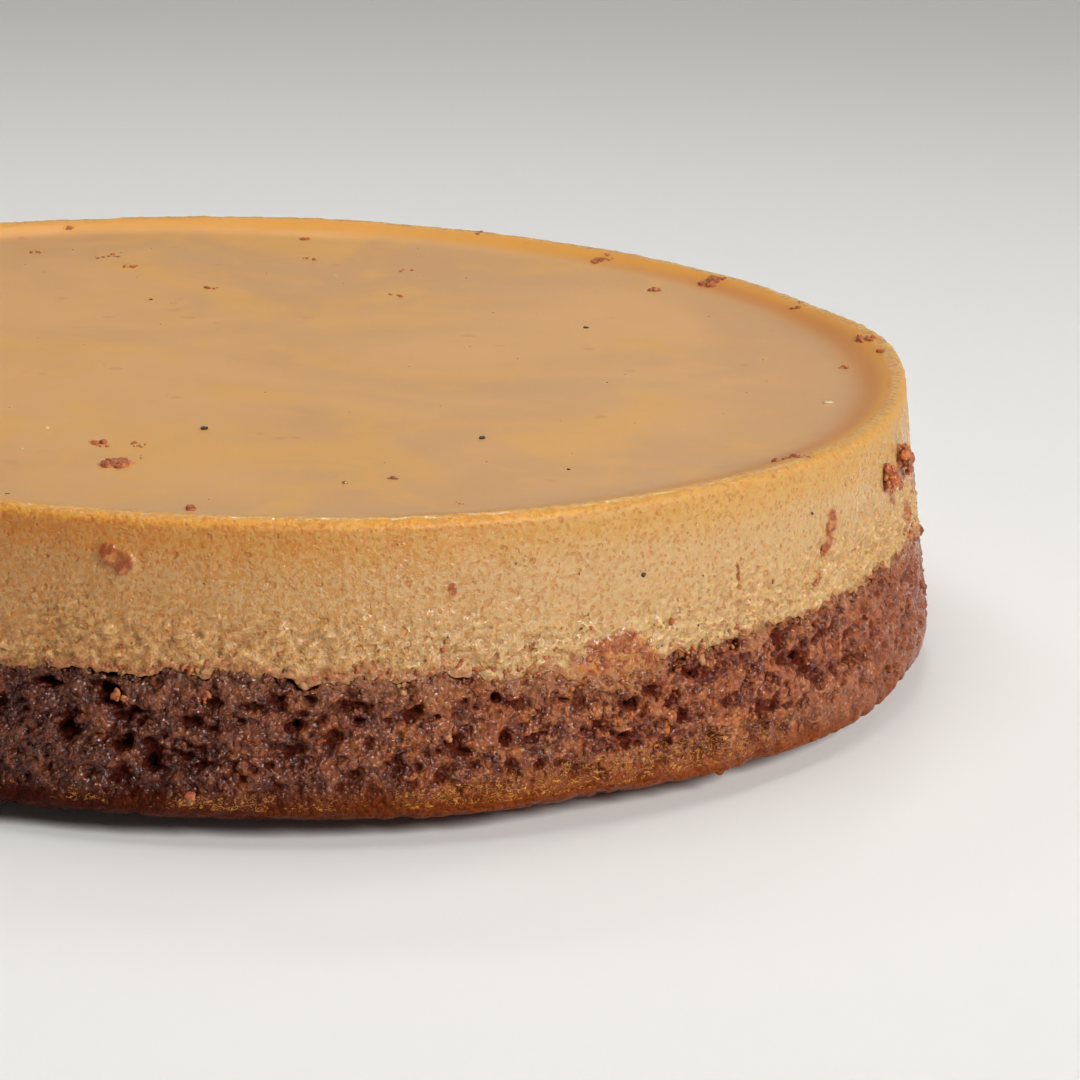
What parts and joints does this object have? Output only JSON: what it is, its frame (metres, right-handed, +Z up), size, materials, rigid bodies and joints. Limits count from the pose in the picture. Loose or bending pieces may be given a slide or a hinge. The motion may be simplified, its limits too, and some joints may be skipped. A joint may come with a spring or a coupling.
{
  "type": "chocoflan",
  "caption": "Round caramel flan with a raised rim and a glazed, dished top, baked onto an open-crumbed chocolate sponge base.",
  "frame": {"origin": "under the middle of the flat underside, on the surface that the cake stands on", "axes": "+Z up through the middle of the cake, -Y towards the front, +X to the right"},
  "size_m": [0.2326, 0.233, 0.0474],
  "materials": {
    "chocolate_sponge": "moist open chocolate crumb, matt with small wet glints",
    "flan": "baked custard, smooth and damp at the rim, finely pitted down the side",
    "caramel_glaze": "thin wet caramel syrup over custard, glossy",
    "vanilla_speck": "tiny dark specks on the flan"
  },
  "bodies": {
    "root": {"chocolate_sponge": "chocolate_sponge", "flan": "flan", "caramel_glaze": "caramel_glaze"}
  },
  "joints": []
}
